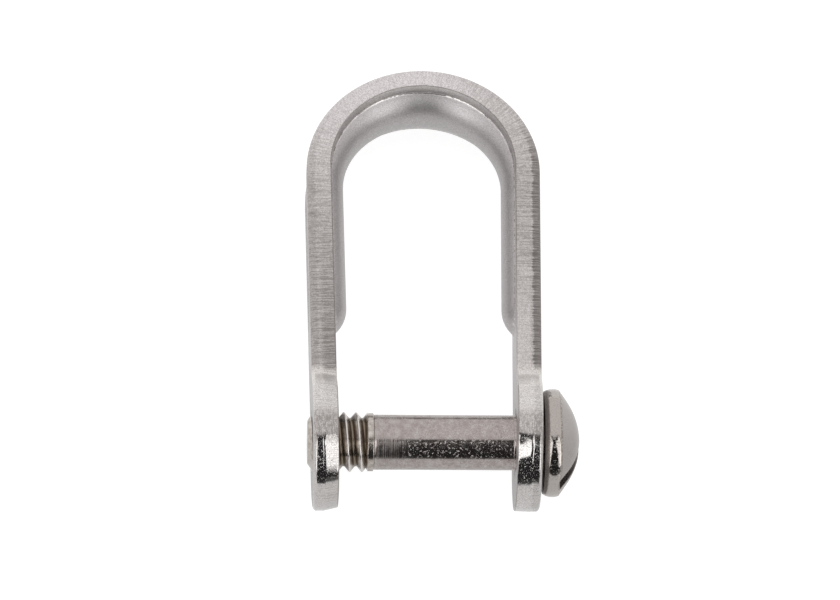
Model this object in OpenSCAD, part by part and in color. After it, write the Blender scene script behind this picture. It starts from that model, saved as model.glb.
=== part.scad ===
// D shackle pressed from flat strip, closed by a slotted screw pin.
// X runs along the pin towards its head, Y from the pin to the crown of the bow, Z across the strip.
// The origin is on the axis of the pin, midway between the two lugs.

/* [Strip] */
// Width of the strip along the legs and round the bow
strip_w = 8.8; // [7:0.1:11]
// Thickness of the strip in the legs and lugs
strip_t = 2.6; // [2:0.1:3.2]
// Thickness left in the edges of the strip at the crown, where bending thins it
crown_t = 2.05; // [1.6:0.05:2.6]
// Rounding that the punch leaves on the outer edges of the strip
die_roll = 0.45; // [0.1:0.05:0.8]

/* [Bow] */
// Outer radius of the bow
bow_r = 12.3; // [11:0.1:15]
// Distance from the axis of the pin to the centre of the bow
bow_y = 30.4; // [26:0.1:40]
// Angle that each leg leans inwards on its way down to its lug
leg_pinch = 0.9; // [0:0.1:2]

/* [Rib] */
// Distance from the centre of the bow to the crest of the rib
rib_crest_r = 8.35; // [7.6:0.05:9]
// Radius of the rib's rounded cross-section
rib_r = 3.4; // [3:0.1:4]
// Height of the rib's lower end above the axis of the pin
rib_end_y = 12.4; // [11:0.1:16]
// Depth of the groove that the rib's punch leaves in the outer face
groove_d = 1.2; // [0.6:0.1:1.5]
// Radius of the groove's rounded cross-section
groove_r = 2.6; // [2.2:0.1:3]

/* [Lugs] */
// Radius of the round end of each leg
lug_r = 7.15; // [6.5:0.05:8]
// Radius of the hollow corner between a leg and its lug
neck_r = 1.8; // [1:0.1:2.5]
// Radius of the clear hole in the lug beside the pin's head
clear_hole_r = 3.4; // [3.2:0.05:3.6]
// Clearance between the thread's crest and the hole that it is screwed into
thread_gap = 0.05; // [0.02:0.01:0.1]
// Bevel round the rims of both holes
hole_bevel = 0.2; // [0.1:0.05:0.4]

/* [Pin] */
// Radius of the plain shank
shank_r = 2.85; // [2.6:0.05:3]
// Radius of the collar between the shank and the head
collar_r = 2.95; // [2.85:0.01:3.1]
// Length of the collar that stands out of its lug into the gap
collar_show = 0.25; // [0.1:0.05:1]
// Length of thread, with its run-out, that shows between the lugs
thread_show = 3.75; // [2:0.05:6]
// Distance that the end of the pin stands out past its lug
pin_proud = 0.5; // [0.2:0.1:2]

/* [Thread] */
// Distance between neighbouring crests of the thread
thread_pitch = 1.27; // [1:0.01:1.5]
// Radius over the crests of the thread
thread_r = 3.11; // [3:0.01:3.15]
// Radius at the root of the thread
thread_root_r = 2.5; // [2.3:0.05:2.6]
// Radius of the flattened last turn beside the shank
runout_r = 3.02; // [2.95:0.01:3.1]
// Angle round the pin, from the crown's side, at which the thread starts on the free end
thread_start = 214; // [0:1:359]

/* [Head] */
// Largest radius of the head
head_r = 5.6; // [5:0.1:6.5]
// Gap between the underside of the head and the lug
head_gap = 0.12; // [0.02:0.02:0.3]
// Height of the head's barrel, below the dome
barrel_h = 1.75; // [1.4:0.05:2]
// Full height of the head
head_h = 3.85; // [3.6:0.05:4.1]
// Slope of the dome near its rim, before it rounds over at the top
dome_slope = 35; // [30:1:40]
// Width of the screwdriver slot
slot_w = 1.6; // [1:0.1:2]
// Depth of the slot below the top of the dome
slot_d = 2.3; // [1.2:0.1:2.6]
// Angle of the slot from the length of the shackle
slot_angle = -8; // [-90:1:90]

/* [Hidden] */
$fn = 96;
past = 1;                                       // how far a cutter runs past what it cuts
bow_in_r = bow_r - strip_t;                     // inner radius of the edges of the bow
crown_shift = strip_t - crown_t;                // the inner arc's centre is this much nearer the crown
leg_l = bow_y / cos(leg_pinch) - bow_r * sin(leg_pinch);  // from the end of the bow to the middle of a lug
lug_in = bow_in_r * cos(leg_pinch) - (bow_y - bow_in_r * sin(leg_pinch)) * tan(leg_pinch);
lug_out = lug_in + strip_t / cos(leg_pinch);    // outer face of a lug, on the axis of the pin
rib_l = leg_l - rib_end_y;                      // length of leg that the rib runs down
head_x = lug_out + head_r * tan(leg_pinch) + head_gap;  // underside of the head
pin_end = -lug_out - pin_proud;                 // free end of the thread
shank_x = -lug_in + thread_show;                // start of the plain shank
runout_l = 0.6;                                 // length of the flattened last turn
end_bevel = 0.6;                                // length of the bevel on the free end
end_bevel_r = 2.25;                             // radius of the flat on the free end
crest_w = 0.12;                                 // width of the flat along a crest
root_w = thread_pitch - 0.03;                    // width of a ridge at its foot
ridge_foot_r = thread_root_r - 0.1;             // radius of that foot, just inside the core
steps = 24;                                     // stations per turn of the thread
barrel_round = 1.4;                             // radius of the bulge round the barrel

// Places its children in the frame of a leg: X outwards, Y along the leg towards the bow,
// with the origin at the centre of the bow. side is 1 beside the head and -1 beside the thread.
module leg_frame(side) {
    translate([0, bow_y, 0])
        mirror([side > 0 ? 0 : 1, 0, 0])
            rotate([0, 0, -leg_pinch])
                children();
}

// Sweeps a profile (X outwards, Y across the strip) round the bow.
module round_bow() {
    translate([0, bow_y, 0])
        rotate([0, 0, -leg_pinch])
            rotate_extrude(angle = 180 + 2 * leg_pinch)
                children();
}

// Sweeps a profile down a leg for a given length.
module down_leg(side, length) {
    leg_frame(side)
        rotate([90, 0, 0])
            linear_extrude(height = length)
                children();
}

// Half of the strip's cross-section, filled in from the middle of the shackle outwards.
module strip_profile() {
    half = strip_w / 2;
    translate([0, -half])
        square([bow_r - die_roll, strip_w]);
    translate([0, -half + die_roll])
        square([bow_r, strip_w - 2 * die_roll]);
    for (s = [-1, 1])
        translate([bow_r - die_roll, s * (half - die_roll)])
            circle(r = die_roll, $fn = 32);
}

module rib_profile() {
    intersection() {
        translate([rib_crest_r + rib_r, 0])
            circle(r = rib_r);
        translate([rib_crest_r - past, -strip_w / 2])
            square([bow_in_r + strip_t / 2 - rib_crest_r + past, strip_w]);
    }
}

module groove_profile() {
    translate([bow_r + groove_r - groove_d, 0])
        circle(r = groove_r);
}

// The rib pressed inwards round the bow and down both legs, with ball-shaped ends.
module rib() {
    round_bow()
        rib_profile();
    for (side = [-1, 1]) {
        down_leg(side, rib_l - rib_r)
            rib_profile();
        leg_frame(side)
            intersection() {
                translate([rib_crest_r + rib_r, rib_r - rib_l, 0])
                    sphere(r = rib_r);
                translate([rib_crest_r - past, -rib_l - past, -strip_w / 2])
                    cube([bow_in_r + strip_t / 2 - rib_crest_r + past, rib_l, strip_w]);
            }
    }
}

// The hollow behind the rib.
module groove() {
    round_bow()
        groove_profile();
    for (side = [-1, 1]) {
        down_leg(side, rib_l - rib_r)
            groove_profile();
        leg_frame(side)
            translate([bow_r + groove_r - groove_d, rib_r - rib_l, 0])
                sphere(r = groove_r);
    }
}

// One hollow corner between a leg and its lug: the triangle between the centre of the lug, the
// middle of the leg and the centre of the corner, cut back by a cutter with the punch's rounding.
module neck_corner() {
    centre_z = strip_w / 2 + neck_r;
    centre_y = sqrt(pow(lug_r + neck_r, 2) - pow(centre_z, 2));
    difference() {
        rotate([90, 0, 90])
            linear_extrude(height = strip_t)
                polygon([[0, 0], [centre_y, 0], [centre_y, centre_z]]);
        translate([0, centre_y, centre_z])
            rotate([0, 90, 0]) {
                translate([0, 0, -past])
                    cylinder(r = neck_r, h = strip_t + 2 * past);
                rotate_extrude()
                    difference() {
                        translate([0, strip_t - die_roll])
                            square([neck_r + die_roll, die_roll + past]);
                        translate([neck_r + die_roll, strip_t - die_roll])
                            circle(r = die_roll, $fn = 32);
                    }
            }
    }
}

// The round end of a leg, with its outer rim rounded and its corners filled out to the leg.
module lug(side) {
    leg_frame(side)
        translate([bow_in_r, -leg_l, 0]) {
            rotate([0, 90, 0])
                rotate_extrude() {
                    square([lug_r, strip_t - die_roll]);
                    square([lug_r - die_roll, strip_t]);
                    translate([lug_r - die_roll, strip_t - die_roll])
                        circle(r = die_roll, $fn = 32);
                }
            neck_corner();
            mirror([0, 0, 1])
                neck_corner();
        }
}

// A hole along X through one lug, bevelled at both rims.
module lug_hole(side, r) {
    mirror([side > 0 ? 0 : 1, 0, 0])
        rotate([0, 90, 0]) {
            translate([0, 0, lug_in - past])
                cylinder(r = r, h = strip_t + 2 * past);
            translate([0, 0, lug_in - past])
                cylinder(r1 = r + hole_bevel + past, r2 = r, h = hole_bevel + past);
            translate([0, 0, lug_out - hole_bevel])
                cylinder(r1 = r, r2 = r + hole_bevel + past, h = hole_bevel + past);
        }
}

// The space inside the bow and between the legs, open below the lugs.
module loop_space() {
    reach = leg_l + lug_r + past;
    top = [bow_in_r * cos(leg_pinch), bow_y + crown_shift - bow_in_r * sin(leg_pinch)];
    foot = [top[0] - reach * sin(leg_pinch), top[1] - reach * cos(leg_pinch)];
    translate([0, 0, -lug_r - past])
        linear_extrude(height = 2 * (lug_r + past)) {
            translate([0, bow_y + crown_shift])
                circle(r = bow_in_r);
            polygon([top, foot, [-foot[0], foot[1]], [-top[0], top[1]]]);
        }
}

// The shackle itself: one strip, bent into a U, ribbed and punched.
module shackle_body() {
    color("silver")
        difference() {
            union() {
                difference() {
                    union() {
                        round_bow()
                            strip_profile();
                        for (side = [-1, 1])
                            down_leg(side, leg_l)
                                strip_profile();
                    }
                    loop_space();
                }
                rib();
                for (side = [-1, 1])
                    lug(side);
            }
            groove();
            lug_hole(-1, thread_r + thread_gap);
            lug_hole(1, clear_hole_r);
        }
}

// The plain middle of the pin, with the collar that runs through the clear hole.
module pin_shank() {
    collar_l = head_x - lug_in + collar_show;
    color("gainsboro")
        rotate([0, 90, 0]) {
            translate([0, 0, shank_x])
                cylinder(r = shank_r, h = head_x - shank_x);
            translate([0, 0, head_x - collar_l])
                cylinder(r = collar_r, h = collar_l);
        }
}

// Radius of the thread's crest at x: it follows the bevel at the free end.
function crest_r(x) =
    min(thread_r, end_bevel_r + (x - pin_end) * (thread_r - end_bevel_r) / end_bevel);

// One station of the ridge: root, crest, crest, root, along a right-hand helix.
function station(i, x0) =
    let (
        angle = 360 * i / steps,
        x = x0 + thread_pitch * i / steps,
        r = max(crest_r(x), thread_root_r)
    )
    [for (p = [[-root_w / 2, ridge_foot_r], [-crest_w / 2, r], [crest_w / 2, r], [root_w / 2, ridge_foot_r]])
        [x + p[0], p[1] * cos(angle), p[1] * sin(angle)]];

// The helical ridge of the thread, from the free end to the flattened last turn.
module ridge() {
    first = pin_end + root_w / 2;
    last = shank_x - runout_l;
    count = floor((last - first) / thread_pitch * steps);
    points = [for (i = [0 : count]) each station(i, first)];
    sides = [for (i = [0 : count - 1]) for (k = [0 : 3])
        let (n = (k + 1) % 4)
        [4 * i + k, 4 * i + n, 4 * i + 4 + n, 4 * i + 4 + k]];
    ends = [[3, 2, 1, 0], [4 * count, 4 * count + 1, 4 * count + 2, 4 * count + 3]];
    polyhedron(points = points, faces = concat(sides, ends), convexity = 10);
}

// The threaded end of the pin, with its flattened last turn.
module pin_thread() {
    color("darkgray") {
        translate([pin_end, 0, 0])
            rotate([0, 90, 0]) {
                cylinder(r1 = end_bevel_r, r2 = thread_root_r, h = 0.2);
                translate([0, 0, 0.2])
                    cylinder(r = thread_root_r, h = shank_x - pin_end - 0.2);
            }
        translate([shank_x, 0, 0])
            rotate([0, -90, 0]) {
                cylinder(r = runout_r, h = runout_l);
                translate([0, 0, runout_l])
                    cylinder(r1 = runout_r, r2 = thread_root_r, h = runout_l / 2);
            }
        rotate([thread_start, 0, 0])
            ridge();
    }
}

// Half of the head's outline: a bulging barrel under a cone that a ball tangent to it rounds off.
module head_profile() {
    rim_r = head_r - 0.2;
    cone_h = rim_r * tan(dome_slope);
    ball_r = (barrel_h + cone_h - head_h) / (1 / cos(dome_slope) - 1);
    join = [ball_r * sin(dome_slope), head_h - ball_r * (1 - cos(dome_slope))];
    bulge_y = barrel_h * 0.55;
    square([head_r - barrel_round, barrel_h]);
    intersection() {
        translate([head_r - barrel_round, bulge_y])
            circle(r = barrel_round);
        square([head_r, barrel_h]);
    }
    polygon([[0, barrel_h], [rim_r, barrel_h], join, [0, join[1]]]);
    intersection() {
        translate([0, head_h - ball_r])
            circle(r = ball_r, $fn = 192);
        translate([0, join[1]])
            square([join[0], head_h - join[1]]);
    }
}

// The slotted head.
module pin_head() {
    color("lightgray")
        translate([head_x, 0, 0])
            difference() {
                rotate([0, 90, 0])
                    rotate_extrude()
                        head_profile();
                rotate([slot_angle, 0, 0])
                    translate([head_h - slot_d, -head_r - past, -slot_w / 2])
                        cube([slot_d + past, 2 * (head_r + past), slot_w]);
            }
}

shackle_body();
pin_shank();
pin_thread();
pin_head();
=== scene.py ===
"""Looks of a strip D shackle: one strip of steel, ribbed and bent into a bow, closed by a slotted pin.

Shapes are worked out in millimetres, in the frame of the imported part: X runs along the pin towards
its head, Y from the pin to the crown of the bow, and Z across the strip. Shell.build() turns them
into metres.
"""

import math

import bmesh
import bpy
from mathutils import Matrix, Vector, noise


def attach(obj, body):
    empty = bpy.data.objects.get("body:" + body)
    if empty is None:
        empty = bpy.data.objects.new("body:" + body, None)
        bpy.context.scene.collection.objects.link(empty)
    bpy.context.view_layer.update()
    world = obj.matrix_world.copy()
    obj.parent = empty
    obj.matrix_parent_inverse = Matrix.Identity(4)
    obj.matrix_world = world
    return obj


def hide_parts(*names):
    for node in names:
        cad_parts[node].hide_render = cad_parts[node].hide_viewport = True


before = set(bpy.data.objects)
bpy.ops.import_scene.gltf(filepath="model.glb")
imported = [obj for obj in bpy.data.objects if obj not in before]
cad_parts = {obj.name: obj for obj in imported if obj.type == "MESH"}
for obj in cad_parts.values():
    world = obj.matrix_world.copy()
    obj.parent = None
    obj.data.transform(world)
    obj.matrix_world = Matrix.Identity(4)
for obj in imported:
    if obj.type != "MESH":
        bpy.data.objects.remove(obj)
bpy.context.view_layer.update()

MM = 0.001
WELD = 0.002

# Strip
STRIP_W = 8.8
STRIP_T = 2.6
CROWN_T = 2.05
DIE_ROLL = 0.45
HALF_W = STRIP_W / 2
LEG_STEPS = 66
BOW_STEPS = 92
ACROSS_STEPS = 120

# Bow and legs
BOW_R = 12.3
BOW_Y = 30.4
BOW_IN_R = BOW_R - STRIP_T
CROWN_SHIFT = STRIP_T - CROWN_T
LEG_PINCH = math.radians(0.9)
LEG_L = BOW_Y / math.cos(LEG_PINCH) - BOW_R * math.sin(LEG_PINCH)

# Rib, the groove behind it, and the painted sheen along its crease and on the flat beside it
RIB_CREST_R = 8.35
RIB_R = 3.4
RIB_END = 12.4
GROOVE_D = 1.2
GROOVE_R = 2.6
RIB_BALL = RIB_END + RIB_R - LEG_L
CREASE = 0.12
CREASE_GAP = -0.03
CREASE_SPREAD = 0.13
GROOVE_LIP = 0.5
MARGIN_SHINE = 0.6

# Lugs
LUG_R = 7.15
NECK_R = 1.8
NECK_Z = HALF_W + NECK_R
NECK_Y = math.sqrt((LUG_R + NECK_R) ** 2 - NECK_Z**2)
NECK_ANGLE = math.atan2(NECK_Z, NECK_Y)
# Where the rim's painted sheen ends on the lug's round
NECK_SHEEN_Y = 3.3
NECK_FADE = 0.3
LUG_FADE = 0.8
LUG_TOP = NECK_Y + 1.1
LUG_TOP_STEPS = 5
NECK_STEPS = 8
LUG_STEPS = 64
LUG_FACE_STEPS = (0, 0.03, 0.1, 0.25, 0.45, 0.65, 0.82, 0.93, 0.98, 1)
CLEAR_HOLE_R = 3.4
TAPPED_HOLE_R = 3.16
TAPPED_GAP = 0.06
HOLE_BEVEL = 0.2
CLEAR_HOLE_STEPS = 13
TAPPED_HOLE_STEPS = 52

# Sheared edge
BURR = 0.08
BURR_END = 0.035
SMOOTH_START = 0.1
SMOOTH_STEPS = 5
FRACTURE_DEPTH = 0.045
FRACTURE_MEAN = 0.5
FRACTURE_SWING = 0.9
FRACTURE_GRAIN = 0.9
FRACTURE_LINE = 0.6
FRACTURE_WANDER = 0.07
WANDER_GRAIN = 0.45
ROLL_STEPS = 10
DRAFT = {-1: 0.34, 1: 0.04}
DRAFT_END = 0.6
WORN_DRAFT = 0.32
WORN_AT = math.radians(34)
WORN_SPREAD = math.radians(7.5)

# Pin
LUG_IN_DROP = BOW_Y - BOW_IN_R * math.sin(LEG_PINCH)
LUG_IN = BOW_IN_R * math.cos(LEG_PINCH) - LUG_IN_DROP * math.tan(LEG_PINCH)
LUG_OUT = LUG_IN + STRIP_T / math.cos(LEG_PINCH)
SHANK_R = 2.85
COLLAR_R = 2.95
COLLAR_SHOW = 0.25
EDGE_ROUND = 0.1
FIRST_RING = 0.4
SHANK_STEPS = 60
HEAD_R = 5.6
HEAD_X = LUG_OUT + HEAD_R * math.tan(LEG_PINCH) + 0.12
PIN_END = -LUG_OUT - 0.5
SHANK_X = -LUG_IN + 3.75
LATHE_STEPS = 128

# Thread
PITCH = 1.27
THREAD_R = 3.11
ROOT_R = 2.5
RUNOUT_R = 3.02
RUNOUT_L = 0.6
RUNOUT_SLOPE = 1.8
RUNOUT_REACH = 1.5 * RUNOUT_L
CREST_W = 0.12
FOOT_W = PITCH - 0.03
FOOT_R = ROOT_R - 0.1
THREAD_START = math.radians(214)
END_BEVEL = 0.6
END_BEVEL_R = 2.25
# The thread's bevel and run-out take a colour half way between the roots' painted shade and the
# crests' painted glint
MID_TONE_R = 2.85
ROOT_ROUND = 0.1
CREST_ROUND = 0.08
RUNOUT_ROUND = 0.06
END_GAP = 0.03
SHANK_GAP = 0.05
INNER_RING_R = SHANK_R - 0.3
END_STEPS = 6
THREAD_TURN_STEPS = 120
THREAD_LONG_STEPS = 230

# Head
BARREL_H = 1.75
HEAD_H = 3.85
BARREL_DROP = 0.35
BULGE_X = 0.6 * BARREL_H
BULGE_POWER = 2.5
RIM_R = HEAD_R - 0.2
DOME_SLOPE = math.radians(35)
BARREL_START = 0.04
BARREL_STOP = BARREL_H - 0.06
UNDER_STEPS = 8
BARREL_STEPS = 24
CONE_STEPS = 16
BALL_STEPS = 24
HEAD_TURN_STEPS = 192
SLOT_W = 1.6
SLOT_D = 2.3
SLOT_CORNER = 0.18
SLOT_ANGLE = math.radians(-8)
SLOT_PAST = 1.0

# Corners sharper than this many degrees stay crisp
STRIP_SHARP = 50
PIN_SHARP = 35
THREAD_SHARP = 60

# Named values kept at each point of a mesh, for the materials
MARKS = ("rim", "across", "run", "lug", "sheen")


def marks(rim=0.0, across=0.0, run=0.0, lug=0.0, sheen=0.0):
    """Marks of a point of the strip: on the sheared edge or not, how far out through the metal, how
    far along the edge, on a lug or not, and how much painted sheen it gets. On the pin, across is
    the distance from its axis."""
    return (rim, across, run, lug, sheen)


def spread(low, high, count):
    """count + 1 evenly spaced numbers from low to high."""
    return [low + (high - low) * i / count for i in range(count + 1)]


def smooth_min(a, b, blend):
    """The lower of a and b, with the corner between them rounded over about blend."""
    overlap = max(blend - abs(a - b), 0.0) / blend
    return min(a, b) - overlap * overlap * blend / 4


def smooth_max(a, b, blend):
    """The higher of a and b, with the corner between them rounded over about blend."""
    return -smooth_min(-a, -b, blend)


def clamp(value, low=0.0, high=1.0):
    return max(low, min(high, value))


def link(thing):
    bpy.context.scene.collection.objects.link(thing)
    return thing


def finish_mesh(mesh, sharp_angle):
    mesh.shade_smooth()
    mesh.set_sharp_from_angle(angle=math.radians(sharp_angle))


class Shell:
    """Collects grids of points into one mesh. A point is (place, marks)."""

    def __init__(self):
        self.points = []
        self.faces = []

    def grid(self, rows, closed=False):
        """Joins rows of equal length into quads. closed joins the last row to the first."""
        first, width = len(self.points), len(rows[0])
        for row in rows:
            self.points.extend(row)
        count = len(rows)
        for i in range(count if closed else count - 1):
            here = first + i * width
            there = first + (i + 1) % count * width
            for k in range(width - 1):
                self.faces.append((here + k, here + k + 1, there + k + 1, there + k))

    def build(self, name, sharp_angle):
        """The mesh as an object, with the points that meet welded together."""
        mesh = bpy.data.meshes.new(name)
        mesh.from_pydata([place * MM for place, _ in self.points], [], self.faces)
        for i, mark in enumerate(MARKS):
            values = mesh.attributes.new(mark, "FLOAT", "POINT")
            values.data.foreach_set("value", [given[i] for _, given in self.points])
        work = bmesh.new()
        work.from_mesh(mesh)
        bmesh.ops.remove_doubles(work, verts=work.verts, dist=WELD * MM)
        bmesh.ops.recalc_face_normals(work, faces=work.faces)
        work.to_mesh(mesh)
        work.free()
        finish_mesh(mesh, sharp_angle)
        return link(bpy.data.objects.new(name, mesh))


def dress(piece, body, node, material):
    """Hangs a finished piece on its CAD body, in place of a CAD node."""
    piece.data.materials.clear()
    piece.data.materials.append(material)
    weighted = piece.modifiers.new("even shading", "WEIGHTED_NORMAL")
    weighted.keep_sharp = True
    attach(piece, body)
    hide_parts(node)


# ---------------------------------------------------------------- shackle


def leg_point(side, out, along, z):
    """A point of a leg. out is from the middle of the shackle, and along is 0 at the bow and
    negative below it."""
    c, s = math.cos(LEG_PINCH), math.sin(LEG_PINCH)
    return Vector((side * (out * c + along * s), BOW_Y - out * s + along * c, z))


class Section:
    """A cross-section of the strip, on a leg at some place along it or on the bow at some angle."""

    def __init__(self, side=0, along=0.0, angle=None):
        self.side, self.along, self.angle = side, along, angle
        self.past_rib = max(0.0, RIB_BALL - along)
        bow_angle = -LEG_PINCH if angle is None else angle
        self.edge = CROWN_SHIFT * math.sin(bow_angle) + math.sqrt(
            BOW_IN_R**2 - (CROWN_SHIFT * math.cos(bow_angle)) ** 2
        )
        if angle is None:
            share = -along / (LEG_L - LUG_TOP)
            self.edge += (BOW_IN_R - self.edge) * share

    def place(self, out, z):
        if self.angle is None:
            return leg_point(self.side, out, self.along, z)
        return Vector((out * math.cos(self.angle), BOW_Y + out * math.sin(self.angle), z))

    def pressed(self, centre, radius, z):
        """How far out the round tool that pressed the rib or the groove left the metal."""
        room = radius**2 - z**2 - self.past_rib**2
        return centre - math.sqrt(room) if room > 0 else centre

    def rib(self, z):
        return self.pressed(RIB_CREST_R + RIB_R, RIB_R, z)

    def sheen_share(self, z):
        """How much painted sheen the inner face gets: most where the rib leaves the flat, less
        beside it."""
        gap = self.rib(z) - self.edge
        margin = MARGIN_SHINE * clamp(1 - self.past_rib / RIB_R) * (gap > 0)
        return max(margin, clamp(1 - abs(gap - CREASE_GAP) / CREASE_SPREAD))

    def inner(self, z):
        return smooth_min(self.edge, self.rib(z), CREASE)

    def outer(self, z):
        groove = self.pressed(BOW_R + GROOVE_R - GROOVE_D, GROOVE_R, z)
        return smooth_min(BOW_R, groove, GROOVE_LIP)


def strip_sections():
    """Sections from the thread's lug, up its leg, round the bow and down to the head's lug."""
    straight = LEG_L - LUG_TOP
    leg = [-straight * (1 - share) for share in spread(0, 1, LEG_STEPS)[:-1]]
    turn = spread(math.pi + LEG_PINCH, -LEG_PINCH, BOW_STEPS)
    sections = [Section(side=-1, along=a) for a in leg]
    sections += [Section(angle=a) for a in turn]
    sections += [Section(side=1, along=a) for a in reversed(leg)]
    return sections


def lug_outline():
    """Points round one lug from the leg's upper edge to its lower one: (z, y, normal z, normal y)."""
    upper = [(HALF_W, y, 1.0, 0.0) for y in spread(LUG_TOP, NECK_Y, LUG_TOP_STEPS)[:-1]]
    for turn in spread(0, math.pi / 2 - NECK_ANGLE, NECK_STEPS)[:-1]:
        nz, ny = math.cos(turn), math.sin(turn)
        upper.append((NECK_Z - NECK_R * nz, NECK_Y - NECK_R * ny, nz, ny))
    for turn in spread(NECK_ANGLE, math.pi, LUG_STEPS):
        nz, ny = math.sin(turn), math.cos(turn)
        upper.append((LUG_R * nz, LUG_R * ny, nz, ny))
    lower = [(-z, y, -nz, ny) for z, y, nz, ny in reversed(upper[:-1])]
    return upper + lower


def rim_profile(run):
    """The sheared edge from the inner face to the outer one: (inset, share of the thickness).
    A burr is rounded over, then comes smooth metal, then torn metal, and last the die's roll."""
    torn = noise.noise(Vector((run * FRACTURE_GRAIN, 3.0, 0.0)))
    depth = FRACTURE_DEPTH * clamp(FRACTURE_MEAN + FRACTURE_SWING * torn)
    wander = noise.noise(Vector((run * WANDER_GRAIN, 0.0, 7.0)))
    line = FRACTURE_LINE + FRACTURE_WANDER * wander
    roll_start = 1 - DIE_ROLL / STRIP_T
    profile = [(BURR, 0.0), (BURR * 0.4, 0.008), (BURR * 0.1, 0.018), (0.0, BURR_END)]
    profile += [(0.0, share) for share in spread(SMOOTH_START, line, SMOOTH_STEPS)]
    profile += [(depth * 0.8, line + 0.02), (depth, line + 0.05), (depth, roll_start - 0.02)]
    for turn in spread(0, math.pi / 2, ROLL_STEPS):
        inset = max(DIE_ROLL * (1 - math.cos(turn)), depth * (1 - turn))
        profile.append((inset, roll_start + (1 - roll_start) * math.sin(turn)))
    return profile


def lug_share(point):
    """How much a point of the outline belongs to the lug rather than the leg."""
    return clamp((NECK_Y - point[1]) / LUG_FADE)


def neck_share(point):
    """Where the rim gets its painted sheen: 1 in the hollow corner above a lug and on the first of the
    lug's round, and 0 past them.
    """
    below_leg = clamp((NECK_Y + NECK_FADE - point[1]) / NECK_FADE)
    return below_leg * clamp((point[1] - NECK_SHEEN_Y) / NECK_FADE)


def draft(side, point, share):
    """How far the punch's draft cuts a lug's edge back: most at the inner face, and nothing from
    DRAFT_END on. The head's lug is also worn in one place."""
    z, y = point[0], point[1]
    from_wear = (math.atan2(-y, z) - WORN_AT) / WORN_SPREAD
    depth = DRAFT[side] + WORN_DRAFT * math.exp(-(from_wear**2)) * (side > 0)
    return lug_share(point) * depth * max(0.0, 1 - share / DRAFT_END)


def rim_rings(sections, outline):
    """Rings of the one edge that runs right round the strip: (placing function, lug's share,
    neck's share)."""

    def on_strip(section, sign):
        def place(inset, share):
            out = section.edge + (BOW_R - section.edge) * share
            return section.place(out, sign * (HALF_W - inset))

        return place

    def on_lug(side, point):
        z, y, nz, ny = point

        def place(inset, share):
            out = BOW_IN_R + STRIP_T * share
            inset += draft(side, point, share)
            return leg_point(side, out, y - ny * inset - LEG_L, z - nz * inset)

        return place

    strip = sections[1:-1]
    rings = [(on_strip(s, 1), 0.0, 0.0) for s in strip]
    rings += [(on_lug(1, p), lug_share(p), neck_share(p)) for p in outline]
    rings += [(on_strip(s, -1), 0.0, 0.0) for s in reversed(strip)]
    rings += [(on_lug(-1, p), lug_share(p), neck_share(p)) for p in reversed(outline)]
    return rings


def hole_point(side, out, radius, turn):
    """A point of a hole's wall. The hole runs along X, square to the pin and not to the leg."""
    y = radius * math.cos(turn)
    along = (y - BOW_Y + out * math.sin(LEG_PINCH)) / math.cos(LEG_PINCH)
    return leg_point(side, out, along, radius * math.sin(turn))


def tapped_r(x, turn):
    """Radius of the tapped hole: it follows the pin's thread, just clear of it."""
    return clamp(thread_r(x, turn) + TAPPED_GAP, ROOT_R + 2 * TAPPED_GAP, TAPPED_HOLE_R)


def add_faces(shell, sections, shares):
    """The inner and the outer face of the legs and the bow, with the rib and the groove."""
    for inset, depth, across in ((BURR, Section.inner, 0.0), (DIE_ROLL, Section.outer, 1.0)):
        rows = []
        for section in sections:
            row = []
            for z in [share * (HALF_W - inset) for share in shares]:
                shine = section.sheen_share(z) if across == 0 else 0.0
                given = marks(across=across, sheen=shine)
                row.append((section.place(depth(section, z), z), given))
            rows.append(row)
        shell.grid(rows)


def add_rim(shell, sections, outline):
    """The sheared edge all the way round the strip."""
    rows, run, last = [], 0.0, None
    for place, lug, neck in rim_rings(sections, outline):
        here = place(0.0, 0.5)
        run += (here - last).length if last else 0.0
        last = here
        profile = rim_profile(run)
        ends = (0, len(profile) - 1)
        row = []
        for i, (inset, share) in enumerate(profile):
            given = marks(0.0 if i in ends else 1.0, share, run, lug, neck)
            row.append((place(inset, share), given))
        rows.append(row)
    shell.grid(rows, closed=True)


def add_lug(shell, side, outline, shares):
    """The two faces of one lug, each from the hole out to the edge, and the wall of its hole."""
    tapped = side < 0
    radius = TAPPED_HOLE_R if tapped else CLEAR_HOLE_R
    top = [(-share * HALF_W, LUG_TOP) for share in reversed(shares[1:-1])]
    turns = [math.atan2(z, y) for z, y, _, _ in outline] + [math.atan2(z, y) for z, y in top]
    for inset, out, share in ((BURR, BOW_IN_R, 0.0), (DIE_ROLL, BOW_R, 1.0)):
        loop = []
        for point in outline:
            z, y, nz, ny = point
            cut = inset + draft(side, point, share)
            loop.append((z - nz * cut, y - ny * cut))
        squeeze = (HALF_W - inset) / HALF_W
        loop += [(z * squeeze, y) for z, y in top]
        given = marks(across=share, lug=1.0)
        rows = []
        for (z, y), turn in zip(loop, turns):
            end = leg_point(side, out, y - LEG_L, z)
            start = hole_point(side, out, radius + HOLE_BEVEL, turn)
            rows.append([(start.lerp(end, step), given) for step in LUG_FACE_STEPS])
        shell.grid(rows, closed=True)

    rows = []
    for turn in turns:
        row = []
        for depth in spread(0, STRIP_T, TAPPED_HOLE_STEPS if tapped else CLEAR_HOLE_STEPS):
            out = BOW_IN_R + depth
            x = hole_point(side, out, radius, turn).x
            wall = tapped_r(x, turn) if tapped else radius
            mouth = HOLE_BEVEL - min(depth, STRIP_T - depth, HOLE_BEVEL)
            if mouth > 0:
                wall = max(wall, radius + mouth)
            row.append((hole_point(side, out, wall, turn), marks(across=0.5, lug=1.0)))
        rows.append(row)
    shell.grid(rows, closed=True)


def shackle_shell():
    shell = Shell()
    sections = strip_sections()
    outline = lug_outline()
    shares = spread(-1, 1, ACROSS_STEPS)
    add_faces(shell, sections, shares)
    add_rim(shell, sections, outline)
    add_lug(shell, -1, outline, shares)
    add_lug(shell, 1, outline, shares)
    return shell


# ---------------------------------------------------------------- pin


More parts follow.
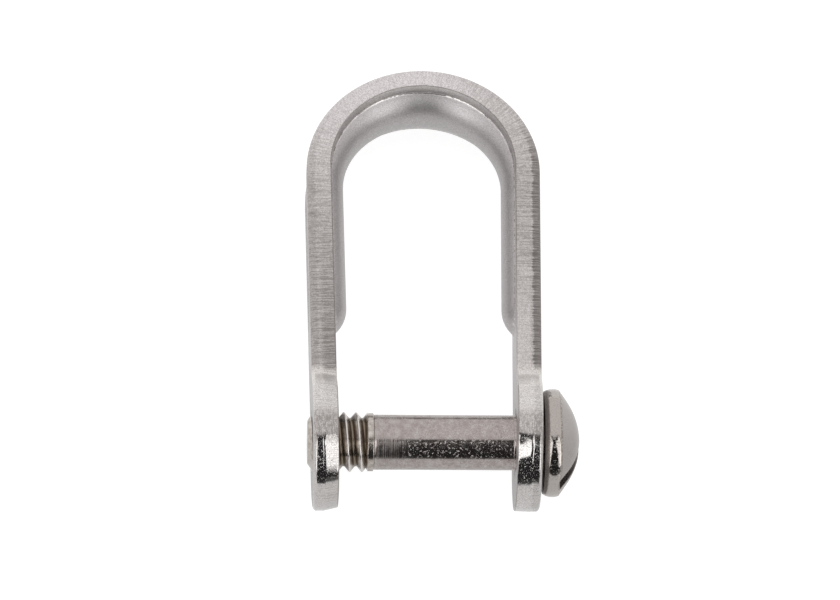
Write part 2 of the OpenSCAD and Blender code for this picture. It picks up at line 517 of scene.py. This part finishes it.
def around(x, radius, turn):
    """A point at radius from the pin's axis, turn from +Y towards +Z."""
    return Vector((x, radius * math.cos(turn), radius * math.sin(turn)))


def lathe(shell, profile, steps):
    """Turns (x, radius) points about the pin's axis."""
    rows = []
    for turn in spread(0, 2 * math.pi, steps)[:-1]:
        rows.append([(around(x, radius, turn), marks(across=radius)) for x, radius in profile])
    shell.grid(rows, closed=True)


def thread_r(x, turn):
    """Radius of the thread before its ends are shaped: V ridges with small flat crests."""
    start = PIN_END + FOOT_W / 2 + PITCH * (turn - THREAD_START) / (2 * math.pi)
    offset = abs((x - start + PITCH / 2) % PITCH - PITCH / 2)
    rise = 2 * (THREAD_R - FOOT_R) / (FOOT_W - CREST_W)
    ridge = THREAD_R - rise * (offset - CREST_W / 2)
    valley = smooth_max(ridge, ROOT_R, ROOT_ROUND)
    return smooth_min(valley, THREAD_R, CREST_ROUND)


def ended_r(x, turn):
    """Radius of the thread with its ends: bevelled at the pin's end, and filled beside the shank."""
    bevel = END_BEVEL_R + (x - PIN_END) * (THREAD_R - END_BEVEL_R) / END_BEVEL
    from_shank = SHANK_X - x
    filled = ROOT_R
    if from_shank < RUNOUT_REACH:
        filled = RUNOUT_R - max(0.0, from_shank - RUNOUT_L) * RUNOUT_SLOPE
    radius = smooth_max(thread_r(x, turn), filled, RUNOUT_ROUND)
    radius = smooth_min(radius, bevel, RUNOUT_ROUND)
    return min(radius, RUNOUT_R) if from_shank < RUNOUT_L else radius


def thread_shell():
    """The threaded length. Its bevel and its run-out are marked half way from the roots' painted shade
    to the crests' painted glint.
    """
    shell = Shell()
    end_radii = spread(0, END_BEVEL_R - EDGE_ROUND, END_STEPS)
    shank_radii = (RUNOUT_R - RUNOUT_ROUND, INNER_RING_R, 0.0)
    rows = []
    for turn in spread(0, 2 * math.pi, THREAD_TURN_STEPS)[:-1]:
        row = [(around(PIN_END, r, turn), marks(across=MID_TONE_R)) for r in end_radii]
        for x in spread(PIN_END + END_GAP, SHANK_X - SHANK_GAP, THREAD_LONG_STEPS):
            radius = ended_r(x, turn)
            plain = x < PIN_END + END_BEVEL or SHANK_X - x < RUNOUT_L
            row.append((around(x, radius, turn), marks(across=MID_TONE_R if plain else radius)))
        row += [(around(SHANK_X, r, turn), marks(across=r)) for r in shank_radii]
        rows.append(row)
    shell.grid(rows, closed=True)
    return shell


def shank_shell():
    """The plain length, with the low collar that fills the clear hole and shows just inside it."""
    collar_x = LUG_IN - COLLAR_SHOW
    profile = [(SHANK_X, 0.0), (SHANK_X, SHANK_R - EDGE_ROUND)]
    profile += [(SHANK_X + 0.2 * EDGE_ROUND, SHANK_R - 0.3 * EDGE_ROUND)]
    profile += [(SHANK_X + 0.7 * EDGE_ROUND, SHANK_R)]
    profile += [(x, SHANK_R) for x in spread(SHANK_X + FIRST_RING, collar_x - EDGE_ROUND, SHANK_STEPS)]
    profile += [(collar_x, SHANK_R + 0.1 * EDGE_ROUND)]
    profile += [(collar_x + 0.3 * EDGE_ROUND, COLLAR_R - 0.2 * EDGE_ROUND)]
    profile += [(collar_x + 0.9 * EDGE_ROUND, COLLAR_R), (collar_x + FIRST_RING, COLLAR_R)]
    profile += [(HEAD_X - EDGE_ROUND, COLLAR_R), (HEAD_X, COLLAR_R), (HEAD_X, 0.0)]
    shell = Shell()
    lathe(shell, profile, LATHE_STEPS)
    return shell


def head_shell():
    """The head before its slot is cut: a bulging barrel under a cone, whose tip is rounded off by
    a ball tangent to it."""
    cone_h = RIM_R * math.tan(DOME_SLOPE)
    ball_r = (BARREL_H + cone_h - HEAD_H) / (1 / math.cos(DOME_SLOPE) - 1)
    profile = [(HEAD_X, r) for r in spread(0, HEAD_R - BARREL_DROP - EDGE_ROUND, UNDER_STEPS)]
    for x in spread(BARREL_START, BARREL_STOP, BARREL_STEPS):
        from_bulge = abs(x / BULGE_X - 1)
        profile.append((HEAD_X + x, HEAD_R - BARREL_DROP * from_bulge**BULGE_POWER))
    join_r = ball_r * math.sin(DOME_SLOPE)
    for radius in spread(RIM_R - EDGE_ROUND, join_r, CONE_STEPS)[:-1]:
        profile.append((HEAD_X + BARREL_H + (RIM_R - radius) * math.tan(DOME_SLOPE), radius))
    ball_x = HEAD_X + HEAD_H - ball_r
    for turn in reversed(spread(0, DOME_SLOPE, BALL_STEPS)):
        profile.append((ball_x + ball_r * math.cos(turn), ball_r * math.sin(turn)))
    shell = Shell()
    lathe(shell, profile, HEAD_TURN_STEPS)
    return shell


def slot_cutter():
    """A bar with two blunted lower corners, laid across the head."""
    half = SLOT_W / 2
    floor = HEAD_X + HEAD_H - SLOT_D
    top = HEAD_X + HEAD_H + SLOT_PAST
    outline = [(half, top), (-half, top), (-half, floor + SLOT_CORNER), (SLOT_CORNER - half, floor)]
    outline += [(half - SLOT_CORNER, floor), (half, floor + SLOT_CORNER)]
    turned = Matrix.Rotation(SLOT_ANGLE, 3, "X")
    places = []
    for across in (-HEAD_R - SLOT_PAST, HEAD_R + SLOT_PAST):
        places += [turned @ Vector((x, across, side)) * MM for side, x in outline]
    count = len(outline)
    faces = [tuple(range(count)), tuple(range(2 * count - 1, count - 1, -1))]
    for k in range(count):
        n = (k + 1) % count
        faces.append((k, count + k, count + n, n))
    mesh = bpy.data.meshes.new("slot_cutter")
    mesh.from_pydata(places, [], faces)
    work = bmesh.new()
    work.from_mesh(mesh)
    bmesh.ops.recalc_face_normals(work, faces=work.faces)
    work.to_mesh(mesh)
    work.free()
    return link(bpy.data.objects.new("slot_cutter", mesh))


def slotted_head():
    head = head_shell().build("screw_head", PIN_SHARP)
    cutter = slot_cutter()
    cut = head.modifiers.new("slot", "BOOLEAN")
    cut.object = cutter
    cut.operation = "DIFFERENCE"
    cut.solver = "EXACT"
    graph = bpy.context.evaluated_depsgraph_get()
    mesh = bpy.data.meshes.new_from_object(head.evaluated_get(graph))
    head.modifiers.clear()
    head.data = mesh
    finish_mesh(mesh, PIN_SHARP)
    bpy.data.objects.remove(cutter)
    return head


# ---------------------------------------------------------------- materials

# Colours of the strip: each is linear red, green and blue
FACE_DARK = (0.48, 0.46, 0.465)
FACE_PALE = (0.56, 0.54, 0.545)
EDGE_DARK = (0.50, 0.475, 0.465)
EDGE_PALE = (0.62, 0.595, 0.585)
EDGE_BRIGHT = (0.84, 0.82, 0.82)
# Painted glint along the rib's crease, broken by painted dark dashes of shade
CREASE_SHADE = (0.16, 0.145, 0.14)
CREASE_GLINT = (0.98, 0.97, 0.96)
# The lugs' polished rims are painted lighter as a highlight
LUG_HIGHLIGHT = (0.80, 0.79, 0.78)
LUG_GLEAM = (0.80, 0.79, 0.77)
SCUFF = (0.20, 0.175, 0.155)
SCORE = (0.25, 0.235, 0.225)
TORN = (0.17, 0.16, 0.15)
# Painted shade: a thin dark line along the inner corner of the sheared edge
EDGE_CORNER_SHADE = (0.14, 0.115, 0.10)
# Painted sheen: a lighter colour on the flat beside the rib, along its crease and in the hollow above
# each lug
PAINTED_SHEEN = (0.85, 0.83, 0.80)
# Painted shade low on the inner part of the thread's leg
LEG_SHADE = (0.22, 0.205, 0.195)
# Painted highlight low on the inner part of the head's leg
LEG_HIGHLIGHT = (0.82, 0.80, 0.79)
SPECK = (0.16, 0.145, 0.135)

# Colours of the pin
SHANK_DARK = (0.36, 0.31, 0.295)
SHANK_PALE = (0.50, 0.47, 0.455)
# Painted shade in the thread's roots, in a tarnish brown, and a painted glint on its crests
ROOT_SHADE = (0.19, 0.155, 0.12)
CREST_GLINT = (0.68, 0.65, 0.62)
DOME_DARK = (0.325, 0.30, 0.29)
DOME_PALE = (0.385, 0.36, 0.345)
BARREL = (0.44, 0.41, 0.385)
# Painted shade in patches along the corner between the head's barrel and its cone
HEAD_CORNER_SHADE = (0.12, 0.095, 0.07)
# Painted shade on the head's underside, by the lug
UNDER_SHADE = (0.11, 0.09, 0.07)

# Where the looks of the strip's edge change, as where a change starts and where it ends. X and Y
# are places in millimetres, and OUT is a share of the thickness.
WORN_Y, WORN_X = (20.0, 42.0), (0.0, 9.0)
TORN_Y, TORN_X, TORN_OUT = (30.0, 38.0), (-6.0, 9.0), (0.80, 0.86)
# Painted shade low on the thread's leg
LEG_SHADE_Y, LEG_SHADE_X, LEG_SHADE_OUT = (27.0, 9.0), (3.0, -3.0), (0.68, 0.40)
# Painted highlight low on the head's leg
LEG_HIGHLIGHT_Y, LEG_HIGHLIGHT_X, LEG_HIGHLIGHT_OUT = (24.0, 9.0), (-3.0, 3.0), (0.68, 0.50)
# Painted dark line along the inner corner of the edge
EDGE_CORNER_OUT = (0.06, 0.02)
GLEAM_Y = (-1.2, 1.0)
SCUFF_TOP_Y, SCUFF_LOW_Y = (0.4, -0.8), (-3.7, -3.0)

# The same on the pin: along X, or by radius
TURNED_X = (-3.6, -1.4)
CREST_RADII = (2.6, 3.1)
BARREL_RADII = (5.25, 5.32)
UNDER_X = (HEAD_X + 0.6, HEAD_X + 0.25)
CORNER_REACH = (0.16, 0.04)
SLOT_EDGE_R = 0.09

# Heights of bumps in millimetres
GRAIN_BUMP = 0.010
NICK_BUMP = 0.009
SCORE_BUMP = 0.055
DENT_BUMP = 0.012
TURNING_BUMP = 0.009
SCRATCH_BUMP = 0.02
HEAD_BUMP = 0.006


class Wiring:
    """Adds shader nodes to one tree. An input is a constant or another node's output."""

    def __init__(self, tree):
        self.tree = tree
        tree.nodes.clear()

    def feed(self, socket, value):
        """Links a socket to another node's output, or sets it. A colour is three numbers."""
        if isinstance(value, bpy.types.NodeSocket):
            self.tree.links.new(value, socket)
        elif socket.type == "RGBA":
            socket.default_value = (*value, 1.0)
        else:
            socket.default_value = value

    def add(self, kind, inputs, output=0, **settings):
        """A new node's output, or the node itself when it has none."""
        node = self.tree.nodes.new("ShaderNode" + kind)
        for name, value in settings.items():
            setattr(node, name, value)
        for name, value in inputs.items():
            self.feed(node.inputs[name], value)
        return node.outputs[output] if node.outputs else node

    def math(self, operation, a, b=0.0, clamped=False):
        return self.add("Math", {0: a, 1: b}, operation=operation, use_clamp=clamped)

    def plus(self, *terms):
        total = terms[0]
        for term in terms[1:]:
            total = self.math("ADD", total, term)
        return total

    def minus(self, a, b):
        return self.math("SUBTRACT", a, b)

    def times(self, *factors):
        product = factors[0]
        for factor in factors[1:]:
            product = self.math("MULTIPLY", product, factor)
        return product

    def mark(self, name):
        return self.add("Attribute", {}, output="Fac", attribute_name=name)

    def axis(self, vector, name):
        return self.add("SeparateXYZ", {"Vector": vector}, output=name)

    def vector(self, x, y, z):
        return self.add("CombineXYZ", {"X": x, "Y": y, "Z": z})

    def stretch(self, vector, factors):
        return self.add("VectorMath", {0: vector, 1: factors}, operation="MULTIPLY")

    def step(self, value, low, high, to_low=0.0, to_high=1.0):
        """A smooth step from to_low to to_high while value goes from low to high."""
        ends = {"Value": value, "From Min": low, "From Max": high, "To Min": to_low, "To Max": to_high}
        return self.add("MapRange", ends, interpolation_type="SMOOTHSTEP")

    def grain(self, vector, scale, detail=3.0, roughness=0.6):
        """Noise, from about 0.25 to 0.75, over a vector."""
        inputs = {"Vector": vector, "Scale": scale, "Detail": detail, "Roughness": roughness}
        return self.add("TexNoise", inputs, output="Fac")

    def blend(self, share, a, b):
        """Colour a where share is 0, and colour b where it is 1."""
        mix = self.tree.nodes.new("ShaderNodeMix")
        mix.data_type = "RGBA"
        sockets = [s for s in mix.inputs if s.enabled]
        for socket, value in zip(sockets, (share, a, b)):
            self.feed(socket, value)
        return [s for s in mix.outputs if s.enabled][0]

    def bump(self, height, distance, normal=None):
        inputs = {"Height": height, "Distance": distance * MM, "Strength": 1.0}
        if normal is not None:
            inputs["Normal"] = normal
        return self.add("Bump", inputs)


def steel(name):
    """An empty steel material with its wiring and the place of the object in millimetres."""
    material = bpy.data.materials.new(name)
    material.use_nodes = True
    wires = Wiring(material.node_tree)
    place = wires.add("TexCoord", {}, output="Object")
    place = wires.add("VectorMath", {0: place, "Scale": 1 / MM}, operation="SCALE")
    return material, wires, place


def finish_steel(wires, colour, roughness, normal):
    inputs = {"Base Color": colour, "Metallic": 1.0, "Roughness": roughness, "Normal": normal}
    surface = wires.add("BsdfPrincipled", inputs)
    wires.add("OutputMaterial", {"Surface": surface})


def speckle(wires, place, colour, strength):
    """Darkens a colour in specks finer than a tenth of a millimetre."""
    specks = wires.step(wires.grain(place, 9.0, 3.0, 0.8), 0.35, 0.62, strength, 0.0)
    return wires.blend(specks, colour, SPECK)


class StripSteel:
    """Pressed strip: satin faces, and sheared edges with fine lines across them and a torn outer
    third. Each method adds the nodes for how much of one thing shows."""

    def __init__(self):
        self.material, self.wires, self.place = steel("strip_steel")
        w = self.wires
        self.rim, self.across, self.run, self.lug, self.sheen = (w.mark(name) for name in MARKS)
        self.x = w.axis(self.place, "X")
        self.y = w.axis(self.place, "Y")
        self.blotches = w.grain(self.place, 0.55, 4.0, 0.6)
        self.strokes = w.grain(w.vector(w.times(self.run, 7.0), self.across, 0.0), 1.0, 4.0, 0.6)
        self.lug_rim = w.times(self.lug, self.rim)
        self.leg_rim = w.times(self.rim, w.minus(1.0, w.times(self.lug, 0.75)))
        low_down = w.step(self.y, *WORN_Y, 1.0, 0.2)
        self.worn = w.math("ADD", low_down, w.step(self.x, *WORN_X, 0.0, 0.3), clamped=True)
        self.worn_rim = w.times(self.leg_rim, self.worn)
        self.lines = self.score_lines()
        self.torn = self.torn_metal()
        finish_steel(w, self.colour(), self.roughness(), self.normal())

    def score_lines(self):
        w = self.wires
        ticks = w.vector(w.times(self.run, 4.0), w.times(self.across, 7.0), 5.0)
        return w.plus(w.times(self.strokes, 0.65), w.times(w.grain(ticks, 1.0), 0.35))

    def torn_metal(self):
        w = self.wires
        wander = w.times(w.grain(w.vector(self.run, 0.0, 0.0), 0.5), 0.25)
        comb = w.step(self.strokes, 0.36, 0.62, 1.0, 0.0)
        reach = w.plus(self.across, wander, w.times(comb, 0.06))
        combed = w.step(comb, 0.0, 1.0, 0.6, 1.0)
        towards_head = w.step(self.x, *TORN_X, 0.35, 1.25)
        below_crown = w.step(self.y, *TORN_Y, 1.0, 0.12)
        return w.times(w.step(reach, *TORN_OUT), self.leg_rim, combed, towards_head, below_crown)

    def leg_shade(self):
        """Painted shade: a dark patch, in streaks, on the inner part of the thread's leg, low down."""
        w = self.wires
        streaks = w.step(self.strokes, 0.60, 0.42, 0.3, 0.8)
        inside = w.step(self.across, *LEG_SHADE_OUT)
        return w.times(w.step(self.x, *LEG_SHADE_X), inside, w.step(self.y, *LEG_SHADE_Y), self.leg_rim, streaks)

    def leg_highlight(self):
        """Painted highlight: lighter metal on the inner part of the head's leg, low down."""
        w = self.wires
        inside = w.step(self.across, *LEG_HIGHLIGHT_OUT)
        low_down = w.step(self.y, *LEG_HIGHLIGHT_Y, 0.0, 0.45)
        return w.times(w.step(self.x, *LEG_HIGHLIGHT_X), inside, low_down, self.worn_rim)

    def scuffs(self):
        """Short dark marks round the lower front of each lug."""
        w = self.wires
        marks_at = w.vector(w.times(self.across, 16.0), w.times(self.run, 1.6), 2.0)
        marked = w.step(w.grain(marks_at, 1.0, 4.0, 0.7), 0.44, 0.58, 1.0, 0.15)
        band = w.times(w.step(self.y, *SCUFF_TOP_Y), w.step(self.y, *SCUFF_LOW_Y))
        return w.times(marked, band, self.lug_rim)

    def colour(self):
        w = self.wires
        edge = w.blend(self.blotches, EDGE_DARK, EDGE_PALE)
        edge = w.blend(self.worn, EDGE_BRIGHT, edge)
        gleam = w.times(self.lug_rim, w.step(self.y, *GLEAM_Y, 0.0, 0.75))
        scored = w.times(w.step(self.lines, 0.44, 0.54, 1.0, 0.0), self.worn_rim, 0.6)
        # Painted shade along the inner corner of the sheared edge
        edge_corner_shade = w.times(self.rim, w.step(self.across, *EDGE_CORNER_OUT), 0.7)
        # Painted glint along the crease, broken by painted dark dashes of shade
        crease = w.times(w.step(self.sheen, 0.62, 0.82), w.minus(1.0, self.rim), 0.9)
        dashes = w.step(w.grain(self.place, 2.2), 0.44, 0.54)
        coats = [
            (self.rim, edge),
            # Painted highlight on the polished lug rims
            (w.times(self.lug_rim, 0.4), LUG_HIGHLIGHT),
            (gleam, LUG_GLEAM),
            (w.times(self.scuffs(), 0.6), SCUFF),
            (scored, SCORE),
            (w.times(self.torn, 0.75), TORN),
            (edge_corner_shade, EDGE_CORNER_SHADE),
            # Painted sheen beside the rib, along its crease and in the hollow above each lug
            (w.times(self.sheen, 0.8), PAINTED_SHEEN),
            # Painted shade low on the thread's leg
            (self.leg_shade(), LEG_SHADE),
            # Painted highlight low on the head's leg
            (self.leg_highlight(), LEG_HIGHLIGHT),
            (crease, w.blend(dashes, CREASE_SHADE, CREASE_GLINT)),
        ]
        colour = w.blend(self.blotches, FACE_DARK, FACE_PALE)
        for share, coat in coats:
            colour = w.blend(share, colour, coat)
        return speckle(w, self.place, colour, 0.5)

    def roughness(self):
        w = self.wires
        satin = w.plus(0.38, w.times(self.blotches, 0.10))
        softened = w.times(self.sheen, w.step(self.rim, 0.0, 1.0, -0.2, 0.35))
        polished = w.minus(satin, w.times(self.lug_rim, 0.33))
        return w.plus(polished, softened, w.times(self.torn, 0.15))

    def normal(self):
        w = self.wires
        pits = w.grain(self.place, 7.0, 4.0, 0.7)
        grain = w.times(pits, w.minus(w.plus(self.rim, 0.3), self.lug_rim))
        nicks = w.times(w.step(w.grain(self.place, 6.5, 4.0, 0.7), 0.58, 0.72), self.lug_rim)
        scoring = w.times(self.lines, w.minus(self.worn_rim, w.times(self.lug_rim, 0.2)))
        fine = w.bump(nicks, NICK_BUMP, w.bump(grain, GRAIN_BUMP))
        return w.bump(scoring, SCORE_BUMP, fine)


def pin_steel():
    """Turned bar: fine rings near the thread, and a lightly pitted polish along the rest."""
    material, wires, place = steel("pin_steel")
    x = wires.axis(place, "X")
    turned = wires.step(x, *TURNED_X, 1.0, 0.08)
    rings = wires.grain(wires.vector(wires.times(x, 9.0), 0.0, 0.0), 1.0)
    arcs = wires.grain(wires.stretch(place, (6.0, 0.35, 0.35)), 1.0)
    pits = wires.grain(place, 4.0, 5.0, 0.7)
    blotches = wires.grain(place, 1.4, 5.0, 0.65)
    colour = wires.blend(wires.step(blotches, 0.3, 0.7), SHANK_DARK, SHANK_PALE)
    scored = wires.times(wires.step(rings, 0.42, 0.60), turned, 0.26)
    roughness = wires.plus(0.07, wires.times(blotches, 0.16), scored)
    dents = wires.times(wires.step(pits, 0.56, 0.70), wires.minus(1.1, turned))
    turning = wires.times(wires.plus(rings, arcs), turned)
    normal = wires.bump(turning, TURNING_BUMP, wires.bump(dents, DENT_BUMP))
    finish_steel(wires, speckle(wires, place, colour, 0.45), roughness, normal)
    return material


def thread_steel():
    """Cut thread: a painted glint on the crests, and painted shade, tarnish brown, in the roots."""
    material, wires, place = steel("thread_steel")
    blotches = wires.grain(place, 1.6, 4.0, 0.6)
    uneven = wires.times(wires.minus(blotches, 0.5), 0.5)
    bright = wires.step(wires.plus(wires.mark("across"), uneven), *CREST_RADII)
    # Painted shade in the roots and a painted glint on the crests
    colour = wires.blend(bright, ROOT_SHADE, CREST_GLINT)
    roughness = wires.step(bright, 0.0, 1.0, 0.22, 0.10)
    scratches = wires.grain(wires.stretch(place, (9.0, 0.8, 0.8)), 1.0, 4.0)
    finish_steel(wires, colour, roughness, wires.bump(scratches, SCRATCH_BUMP))
    return material


def head_steel():
    """Formed head: an even satin dome, a glossier barrel with small dents, painted shade on its
    underside and top corner, and rounded slot edges."""
    material, wires, place = steel("head_steel")
    blotches = wires.grain(place, 0.6, 4.0, 0.6)
    dents = wires.grain(place, 4.0)
    barrel = wires.step(wires.mark("across"), *BARREL_RADII)
    x = wires.axis(place, "X")
    from_corner = wires.math("ABSOLUTE", wires.minus(x, HEAD_X + BARREL_H))
    # Painted shade in patches along the barrel's top corner
    patchy = wires.step(dents, 0.40, 0.55, 0.2, 0.8)
    corner = wires.times(wires.step(from_corner, *CORNER_REACH), patchy)
    # Painted shade on the head's underside, where it faces the lug
    under = wires.times(wires.step(x, *UNDER_X), 0.6)
    dome = wires.blend(blotches, DOME_DARK, DOME_PALE)
    colour = wires.blend(corner, wires.blend(barrel, dome, BARREL), HEAD_CORNER_SHADE)
    colour = wires.blend(under, speckle(wires, place, colour, 0.3), UNDER_SHADE)
    roughness = wires.plus(wires.step(barrel, 0.0, 1.0, 0.24, 0.05), wires.times(blotches, 0.08))
    uneven = wires.times(wires.step(dents, 0.54, 0.66), wires.plus(barrel, 0.1))
    soft = wires.add("Bevel", {"Radius": SLOT_EDGE_R * MM}, samples=6)
    finish_steel(wires, colour, roughness, wires.bump(uneven, HEAD_BUMP, soft))
    return material


# ---------------------------------------------------------------- studio

# Camera: angles, and lengths in millimetres
VIEW_AZIMUTH = math.radians(-4.46)
VIEW_ELEVATION = math.radians(60.03)
VIEW_ROLL = math.radians(4.2)
VIEW_DISTANCE = 700.0
VIEW_WIDTH = 87.91
AIM_RIGHT = -0.42
AIM_UP = 1.74
AIM = Vector((0.0, 15.0, 0.0))

# Everything below is in metres
SENSOR_W = 0.036
CLIP_NEAR = 0.01
CLIP_FAR = 10.0
FLOOR_R = 1.6
FLOOR_STEPS = 96
FLOOR_GAP = 0.02 * MM
NEAR_Y = (-0.075, -0.055)
BEHIND_PIN_Y = (0.002, 0.014)
SOFTBOX_DISTANCE = 0.8
SOFTBOX_W = 0.40
SOFTBOX_H = 0.92

# Lights and greys
BLACK = (0.02, 0.02, 0.02)
GREY = (0.3, 0.3, 0.3)
WHITE = (1.0, 1.0, 1.0)
TENT = (1.0, 0.975, 0.975)
FLOOR_GLOW = (0.57, 0.72)
BACKDROP_GLOW = 0.85
TENT_GLOW = (1.05, 0.03)
SOFTBOX_GLOW = 1.85
SOFTBOX_AZIMUTH = math.radians(38)
SOFTBOX_ELEVATION = math.radians(34)

# The dark opening in the tent, in parts of a unit vector: where each edge starts and ends
OPEN_FRONT = (-0.12, -0.30)
OPEN_ABOVE = (-0.20, -0.15)
OPEN_BELOW_ROOF = (0.985, 0.93)
OPEN_MIDDLE = (0.70, 0.45)


def way_to(azimuth, elevation):
    """The direction from the shackle to something: azimuth 0 is the front."""
    level = math.cos(elevation)
    x, y = math.sin(azimuth) * level, -math.cos(azimuth) * level
    return Vector((x, y, math.sin(elevation)))


def make_camera():
    back = way_to(VIEW_AZIMUTH, VIEW_ELEVATION)
    level = Vector((math.cos(VIEW_AZIMUTH), math.sin(VIEW_AZIMUTH), 0.0))
    upright = back.cross(level)
    right = level * math.cos(VIEW_ROLL) + upright * math.sin(VIEW_ROLL)
    up = upright * math.cos(VIEW_ROLL) - level * math.sin(VIEW_ROLL)
    target = AIM + right * AIM_RIGHT + up * AIM_UP
    camera = link(bpy.data.objects.new("camera", bpy.data.cameras.new("camera")))
    camera.data.sensor_width = SENSOR_W / MM
    camera.data.lens = camera.data.sensor_width * VIEW_DISTANCE / VIEW_WIDTH
    camera.data.clip_start = CLIP_NEAR
    camera.data.clip_end = CLIP_FAR
    turned = Matrix((right, up, back)).transposed().to_4x4()
    camera.matrix_world = Matrix.Translation((target + back * VIEW_DISTANCE) * MM) @ turned
    bpy.context.scene.camera = camera


def seen_or_lit(wires, lit, seen):
    """What a picture shows directly, seen, and what the metal reflects, lit."""
    by_camera = wires.add("LightPath", {}, output="Is Camera Ray")
    return wires.add("MixShader", {0: by_camera, 1: lit, 2: seen})


def glowing(wires, paint, glow):
    """A painted surface that also gives off white light."""
    inputs = {"Base Color": paint, "Emission Color": WHITE, "Emission Strength": glow}
    return wires.add("BsdfPrincipled", inputs)


def make_floor():
    """A pale round table that touches the lower edges of the lugs and of the bow. What the metal
    reflects of it is dark in front, and a little brighter behind the pin than before it."""
    slope = math.atan2(LUG_R - HALF_W, BOW_Y + BOW_R)
    mesh = bpy.data.meshes.new("floor")
    work = bmesh.new()
    bmesh.ops.create_circle(work, cap_ends=True, segments=FLOOR_STEPS, radius=FLOOR_R)
    work.to_mesh(mesh)
    work.free()
    floor = link(bpy.data.objects.new("floor", mesh))
    drop = LUG_R * MM / math.cos(slope) + FLOOR_GAP
    floor.matrix_world = Matrix.Translation((0, 0, -drop)) @ Matrix.Rotation(slope, 4, "X")
    material = bpy.data.materials.new("floor")
    material.use_nodes = True
    wires = Wiring(material.node_tree)
    y = wires.axis(wires.add("TexCoord", {}, output="Object"), "Y")
    near = wires.step(y, *NEAR_Y)
    glow = wires.times(near, wires.step(y, *BEHIND_PIN_Y, *FLOOR_GLOW))
    lit = glowing(wires, wires.blend(near, BLACK, GREY), glow)
    backdrop = glowing(wires, GREY, BACKDROP_GLOW)
    wires.add("OutputMaterial", {"Surface": seen_or_lit(wires, lit, backdrop)})
    mesh.materials.append(material)


def make_world():
    """A soft white tent that is open, and so dark, on the side where the picture is taken from."""
    world = bpy.data.worlds.new("studio")
    bpy.context.scene.world = world
    world.use_nodes = True
    wires = Wiring(world.node_tree)
    way = wires.add("TexCoord", {}, output="Generated")
    x, y, z = (wires.axis(way, name) for name in "XYZ")
    middle = wires.step(wires.math("ABSOLUTE", x), *OPEN_MIDDLE)
    front = wires.step(y, *OPEN_FRONT)
    above = wires.step(z, *OPEN_ABOVE)
    below_roof = wires.step(z, *OPEN_BELOW_ROOF)
    opening = wires.times(front, middle, above, below_roof)
    strength = wires.step(opening, 0.0, 1.0, *TENT_GLOW)
    tent = wires.add("Background", {"Color": TENT, "Strength": strength})
    backdrop = wires.add("Background", {"Color": WHITE, "Strength": 1.0})
    wires.add("OutputWorld", {"Surface": seen_or_lit(wires, tent, backdrop)})


def softbox(name, azimuth):
    """A tall lamp that faces the shackle, unseen by the camera."""
    lamp = bpy.data.lights.new(name, "AREA")
    lamp.shape = "RECTANGLE"
    lamp.size = SOFTBOX_W
    lamp.size_y = SOFTBOX_H
    lamp.energy = SOFTBOX_GLOW * math.pi * SOFTBOX_W * SOFTBOX_H
    box = link(bpy.data.objects.new(name, lamp))
    box.visible_camera = False
    way = way_to(azimuth, SOFTBOX_ELEVATION)
    turned = way.to_track_quat("Z", "Y").to_matrix().to_4x4()
    box.matrix_world = Matrix.Translation(way * SOFTBOX_DISTANCE) @ turned


def main():
    strip = shackle_shell().build("pressed_strip", STRIP_SHARP)
    dress(strip, "shackle", "shackle_body", StripSteel().material)
    shank = shank_shell().build("plain_shank", PIN_SHARP)
    dress(shank, "pin_slider", "pin_shank", pin_steel())
    thread = thread_shell().build("cut_thread", THREAD_SHARP)
    dress(thread, "pin_turner", "pin_thread", thread_steel())
    dress(slotted_head(), "pin_turner", "pin_head", head_steel())
    make_floor()
    make_world()
    softbox("right_softbox", SOFTBOX_AZIMUTH)
    softbox("left_softbox", -SOFTBOX_AZIMUTH)
    make_camera()
    bpy.context.scene.view_settings.view_transform = "Standard"


main()
